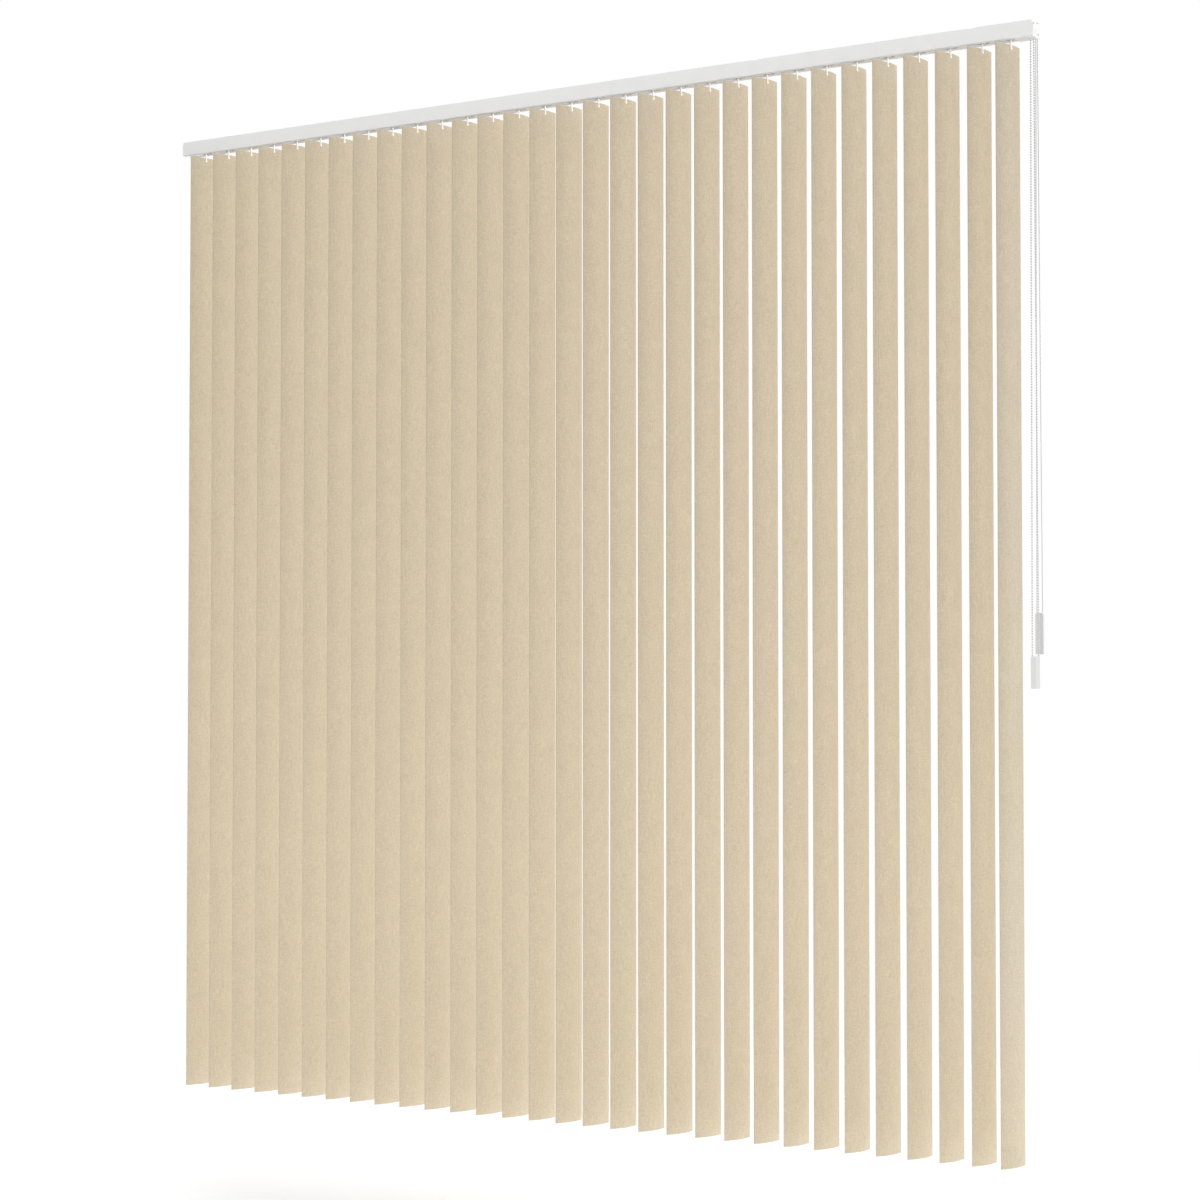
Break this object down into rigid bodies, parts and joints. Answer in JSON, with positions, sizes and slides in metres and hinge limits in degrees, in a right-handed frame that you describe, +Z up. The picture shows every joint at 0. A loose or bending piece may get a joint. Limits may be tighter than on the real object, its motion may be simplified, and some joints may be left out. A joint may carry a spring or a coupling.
{
  "type": "vertical blind",
  "caption": "Ceiling-fixed vertical blind: curved vanes on geared carriers in a slim headrail, tilted by a bead chain and drawn by a cord, each in a weighted loop.",
  "frame": {"origin": "screw hole of the middle ceiling clip, at the clip's top face against the ceiling", "axes": "+X along the headrail towards the control end, +Y from the room towards the window, +Z up"},
  "size_m": [2.5264, 0.0871, 2.5675],
  "materials": {
    "vane_pvc": "matt embossed rigid PVC, warm beige",
    "rail_paint": "white powder coat on extruded aluminium",
    "bright_steel": "zinc-plated steel",
    "rod_aluminium": "mill-finish drawn bar",
    "white_moulding": "white satin moulding",
    "acetal_natural": "natural acetal",
    "white_cord": "braided polyester",
    "bead_plastic": "white moulded beads on a cord",
    "weight_grey": "pale grey moulding"
  },
  "bodies": {
    "headrail_assembly": {"bead_chain_loop": "bead_plastic", "bead_chain_on_sprocket": "bead_plastic", "carrier_rollers": "acetal_natural", "carriers": "acetal_natural", "ceiling_clips": "bright_steel", "chain_weight_front": "weight_grey", "chain_weight_rear": "weight_grey", "control_cover": "white_moulding", "control_housing": "white_moulding", "cord_clamp": "acetal_natural", "cord_pulley_pin": "bright_steel", "cord_weight_front": "weight_grey", "cord_weight_rear": "weight_grey", "cover_screws": "bright_steel", "draw_cord_in_rail": "white_cord", "draw_cord_loop": "white_cord", "headrail": "rail_paint", "return_end_cap": "white_moulding", "return_pulley_pin": "bright_steel", "spacer_links": "bright_steel"},
    "tilt_shaft": {"tilt_rod": "rod_aluminium", "worms": "acetal_natural", "chain_sprocket": "acetal_natural"},
    "cord_pulley_front": {"cord_pulley_front": "acetal_natural"},
    "cord_pulley_rear": {"cord_pulley_rear": "acetal_natural"},
    "return_pulley": {"return_pulley": "acetal_natural"},
    "chain_weight_wheel": {"chain_weight_wheel": "acetal_natural"},
    "cord_weight_wheel": {"cord_weight_wheel": "acetal_natural"},
    "vane_01": {"vane_01": "vane_pvc"},
    "vane_02": {"vane_02": "vane_pvc"},
    "vane_03": {"vane_03": "vane_pvc"},
    "vane_04": {"vane_04": "vane_pvc"},
    "vane_05": {"vane_05": "vane_pvc"},
    "vane_06": {"vane_06": "vane_pvc"},
    "vane_07": {"vane_07": "vane_pvc"},
    "vane_08": {"vane_08": "vane_pvc"},
    "vane_09": {"vane_09": "vane_pvc"},
    "vane_10": {"vane_10": "vane_pvc"},
    "vane_11": {"vane_11": "vane_pvc"},
    "vane_12": {"vane_12": "vane_pvc"},
    "vane_13": {"vane_13": "vane_pvc"},
    "vane_14": {"vane_14": "vane_pvc"},
    "vane_15": {"vane_15": "vane_pvc"},
    "vane_16": {"vane_16": "vane_pvc"},
    "vane_17": {"vane_17": "vane_pvc"},
    "vane_18": {"vane_18": "vane_pvc"},
    "vane_19": {"vane_19": "vane_pvc"},
    "vane_20": {"vane_20": "vane_pvc"},
    "vane_21": {"vane_21": "vane_pvc"},
    "vane_22": {"vane_22": "vane_pvc"},
    "vane_23": {"vane_23": "vane_pvc"},
    "vane_24": {"vane_24": "vane_pvc"},
    "vane_25": {"vane_25": "vane_pvc"},
    "vane_26": {"vane_26": "vane_pvc"},
    "vane_27": {"vane_27": "vane_pvc"},
    "vane_28": {"vane_28": "vane_pvc"},
    "vane_29": {"vane_29": "vane_pvc"},
    "vane_30": {"vane_30": "vane_pvc"},
    "vane_31": {"vane_31": "vane_pvc"}
  },
  "joints": [
    {"name": "vane_01_tilt", "type": "hinge", "parent": "headrail_assembly", "child": "vane_01", "pos_m": [-1.1925, 0, -0.0475], "axis": [0, 0, 1], "range_deg": [-69, 95]},
    {"name": "vane_02_tilt", "type": "hinge", "parent": "headrail_assembly", "child": "vane_02", "pos_m": [-1.1125, 0, -0.0475], "axis": [0, 0, 1], "range_deg": [-69, 95]},
    {"name": "vane_03_tilt", "type": "hinge", "parent": "headrail_assembly", "child": "vane_03", "pos_m": [-1.0325, 0, -0.0475], "axis": [0, 0, 1], "range_deg": [-69, 95]},
    {"name": "vane_04_tilt", "type": "hinge", "parent": "headrail_assembly", "child": "vane_04", "pos_m": [-0.9525, 0, -0.0475], "axis": [0, 0, 1], "range_deg": [-69, 95]},
    {"name": "vane_05_tilt", "type": "hinge", "parent": "headrail_assembly", "child": "vane_05", "pos_m": [-0.8725, 0, -0.0475], "axis": [0, 0, 1], "range_deg": [-69, 95]},
    {"name": "vane_06_tilt", "type": "hinge", "parent": "headrail_assembly", "child": "vane_06", "pos_m": [-0.7925, 0, -0.0475], "axis": [0, 0, 1], "range_deg": [-69, 95]},
    {"name": "vane_07_tilt", "type": "hinge", "parent": "headrail_assembly", "child": "vane_07", "pos_m": [-0.7125, 0, -0.0475], "axis": [0, 0, 1], "range_deg": [-69, 95]},
    {"name": "vane_08_tilt", "type": "hinge", "parent": "headrail_assembly", "child": "vane_08", "pos_m": [-0.6325, 0, -0.0475], "axis": [0, 0, 1], "range_deg": [-69, 95]},
    {"name": "vane_09_tilt", "type": "hinge", "parent": "headrail_assembly", "child": "vane_09", "pos_m": [-0.5525, 0, -0.0475], "axis": [0, 0, 1], "range_deg": [-69, 95]},
    {"name": "vane_10_tilt", "type": "hinge", "parent": "headrail_assembly", "child": "vane_10", "pos_m": [-0.4725, 0, -0.0475], "axis": [0, 0, 1], "range_deg": [-69, 95]},
    {"name": "vane_11_tilt", "type": "hinge", "parent": "headrail_assembly", "child": "vane_11", "pos_m": [-0.3925, 0, -0.0475], "axis": [0, 0, 1], "range_deg": [-69, 95]},
    {"name": "vane_12_tilt", "type": "hinge", "parent": "headrail_assembly", "child": "vane_12", "pos_m": [-0.3125, 0, -0.0475], "axis": [0, 0, 1], "range_deg": [-69, 95]},
    {"name": "vane_13_tilt", "type": "hinge", "parent": "headrail_assembly", "child": "vane_13", "pos_m": [-0.2325, 0, -0.0475], "axis": [0, 0, 1], "range_deg": [-69, 95]},
    {"name": "vane_14_tilt", "type": "hinge", "parent": "headrail_assembly", "child": "vane_14", "pos_m": [-0.1525, 0, -0.0475], "axis": [0, 0, 1], "range_deg": [-69, 95]},
    {"name": "vane_15_tilt", "type": "hinge", "parent": "headrail_assembly", "child": "vane_15", "pos_m": [-0.0725, 0, -0.0475], "axis": [0, 0, 1], "range_deg": [-69, 95]},
    {"name": "vane_16_tilt", "type": "hinge", "parent": "headrail_assembly", "child": "vane_16", "pos_m": [0.0075, 0, -0.0475], "axis": [0, 0, 1], "range_deg": [-69, 95]},
    {"name": "vane_17_tilt", "type": "hinge", "parent": "headrail_assembly", "child": "vane_17", "pos_m": [0.0875, 0, -0.0475], "axis": [0, 0, 1], "range_deg": [-69, 95]},
    {"name": "vane_18_tilt", "type": "hinge", "parent": "headrail_assembly", "child": "vane_18", "pos_m": [0.1675, 0, -0.0475], "axis": [0, 0, 1], "range_deg": [-69, 95]},
    {"name": "vane_19_tilt", "type": "hinge", "parent": "headrail_assembly", "child": "vane_19", "pos_m": [0.2475, 0, -0.0475], "axis": [0, 0, 1], "range_deg": [-69, 95]},
    {"name": "vane_20_tilt", "type": "hinge", "parent": "headrail_assembly", "child": "vane_20", "pos_m": [0.3275, 0, -0.0475], "axis": [0, 0, 1], "range_deg": [-69, 95]},
    {"name": "vane_21_tilt", "type": "hinge", "parent": "headrail_assembly", "child": "vane_21", "pos_m": [0.4075, 0, -0.0475], "axis": [0, 0, 1], "range_deg": [-69, 95]},
    {"name": "vane_22_tilt", "type": "hinge", "parent": "headrail_assembly", "child": "vane_22", "pos_m": [0.4875, 0, -0.0475], "axis": [0, 0, 1], "range_deg": [-69, 95]},
    {"name": "vane_23_tilt", "type": "hinge", "parent": "headrail_assembly", "child": "vane_23", "pos_m": [0.5675, 0, -0.0475], "axis": [0, 0, 1], "range_deg": [-69, 95]},
    {"name": "vane_24_tilt", "type": "hinge", "parent": "headrail_assembly", "child": "vane_24", "pos_m": [0.6475, 0, -0.0475], "axis": [0, 0, 1], "range_deg": [-69, 95]},
    {"name": "vane_25_tilt", "type": "hinge", "parent": "headrail_assembly", "child": "vane_25", "pos_m": [0.7275, 0, -0.0475], "axis": [0, 0, 1], "range_deg": [-69, 95]},
    {"name": "vane_26_tilt", "type": "hinge", "parent": "headrail_assembly", "child": "vane_26", "pos_m": [0.8075, 0, -0.0475], "axis": [0, 0, 1], "range_deg": [-69, 95]},
    {"name": "vane_27_tilt", "type": "hinge", "parent": "headrail_assembly", "child": "vane_27", "pos_m": [0.8875, 0, -0.0475], "axis": [0, 0, 1], "range_deg": [-69, 95]},
    {"name": "vane_28_tilt", "type": "hinge", "parent": "headrail_assembly", "child": "vane_28", "pos_m": [0.9675, 0, -0.0475], "axis": [0, 0, 1], "range_deg": [-69, 95]},
    {"name": "vane_29_tilt", "type": "hinge", "parent": "headrail_assembly", "child": "vane_29", "pos_m": [1.0475, 0, -0.0475], "axis": [0, 0, 1], "range_deg": [-69, 95]},
    {"name": "vane_30_tilt", "type": "hinge", "parent": "headrail_assembly", "child": "vane_30", "pos_m": [1.1275, 0, -0.0475], "axis": [0, 0, 1], "range_deg": [-69, 95]},
    {"name": "vane_31_tilt", "type": "hinge", "parent": "headrail_assembly", "child": "vane_31", "pos_m": [1.1975, 0, -0.0475], "axis": [0, 0, 1], "range_deg": [-69, 95]},
    {"name": "tilt_shaft_spin", "type": "hinge", "parent": "headrail_assembly", "child": "tilt_shaft", "pos_m": [1.253, -0.0066, -0.02], "axis": [1, 0, 0], "range_deg": [-345, 475]},
    {"name": "chain_weight_wheel_spin", "type": "hinge", "parent": "headrail_assembly", "child": "chain_weight_wheel", "pos_m": [1.253, -0.0066, -1.4495], "axis": [-0.4695, 0.8829, 0], "range_deg": [-585, 425]},
    {"name": "cord_pulley_front_spin", "type": "hinge", "parent": "headrail_assembly", "child": "cord_pulley_front", "pos_m": [1.2504, 0.0072, -0.0175], "axis": [0, 1, 0], "continuous": true},
    {"name": "cord_pulley_rear_spin", "type": "hinge", "parent": "headrail_assembly", "child": "cord_pulley_rear", "pos_m": [1.2504, 0.0154, -0.0175], "axis": [0, 1, 0], "continuous": true},
    {"name": "return_pulley_spin", "type": "hinge", "parent": "headrail_assembly", "child": "return_pulley", "pos_m": [-1.245, 0.0113, -0.012], "axis": [0, 0, 1], "continuous": true},
    {"name": "cord_weight_wheel_spin", "type": "hinge", "parent": "headrail_assembly", "child": "cord_weight_wheel", "pos_m": [1.2559, 0.0113, -1.3525], "axis": [0, 1, 0], "continuous": true}
  ],
  "couplings": [
    {"joint": "vane_01_tilt", "follows": "vane_16_tilt", "ratio": 1},
    {"joint": "vane_02_tilt", "follows": "vane_16_tilt", "ratio": 1},
    {"joint": "vane_03_tilt", "follows": "vane_16_tilt", "ratio": 1},
    {"joint": "vane_04_tilt", "follows": "vane_16_tilt", "ratio": 1},
    {"joint": "vane_05_tilt", "follows": "vane_16_tilt", "ratio": 1},
    {"joint": "vane_06_tilt", "follows": "vane_16_tilt", "ratio": 1},
    {"joint": "vane_07_tilt", "follows": "vane_16_tilt", "ratio": 1},
    {"joint": "vane_08_tilt", "follows": "vane_16_tilt", "ratio": 1},
    {"joint": "vane_09_tilt", "follows": "vane_16_tilt", "ratio": 1},
    {"joint": "vane_10_tilt", "follows": "vane_16_tilt", "ratio": 1},
    {"joint": "vane_11_tilt", "follows": "vane_16_tilt", "ratio": 1},
    {"joint": "vane_12_tilt", "follows": "vane_16_tilt", "ratio": 1},
    {"joint": "vane_13_tilt", "follows": "vane_16_tilt", "ratio": 1},
    {"joint": "vane_14_tilt", "follows": "vane_16_tilt", "ratio": 1},
    {"joint": "vane_15_tilt", "follows": "vane_16_tilt", "ratio": 1},
    {"joint": "vane_17_tilt", "follows": "vane_16_tilt", "ratio": 1},
    {"joint": "vane_18_tilt", "follows": "vane_16_tilt", "ratio": 1},
    {"joint": "vane_19_tilt", "follows": "vane_16_tilt", "ratio": 1},
    {"joint": "vane_20_tilt", "follows": "vane_16_tilt", "ratio": 1},
    {"joint": "vane_21_tilt", "follows": "vane_16_tilt", "ratio": 1},
    {"joint": "vane_22_tilt", "follows": "vane_16_tilt", "ratio": 1},
    {"joint": "vane_23_tilt", "follows": "vane_16_tilt", "ratio": 1},
    {"joint": "vane_24_tilt", "follows": "vane_16_tilt", "ratio": 1},
    {"joint": "vane_25_tilt", "follows": "vane_16_tilt", "ratio": 1},
    {"joint": "vane_26_tilt", "follows": "vane_16_tilt", "ratio": 1},
    {"joint": "vane_27_tilt", "follows": "vane_16_tilt", "ratio": 1},
    {"joint": "vane_28_tilt", "follows": "vane_16_tilt", "ratio": 1},
    {"joint": "vane_29_tilt", "follows": "vane_16_tilt", "ratio": 1},
    {"joint": "vane_30_tilt", "follows": "vane_16_tilt", "ratio": 1},
    {"joint": "vane_31_tilt", "follows": "vane_16_tilt", "ratio": 1},
    {"joint": "tilt_shaft_spin", "follows": "vane_16_tilt", "ratio": 5},
    {"joint": "chain_weight_wheel_spin", "follows": "vane_16_tilt", "ratio": -6.1388},
    {"joint": "cord_pulley_rear_spin", "follows": "cord_pulley_front_spin", "ratio": -1},
    {"joint": "return_pulley_spin", "follows": "cord_pulley_front_spin", "ratio": 1.3415},
    {"joint": "cord_weight_wheel_spin", "follows": "cord_pulley_front_spin", "ratio": -0.78571}
  ]
}
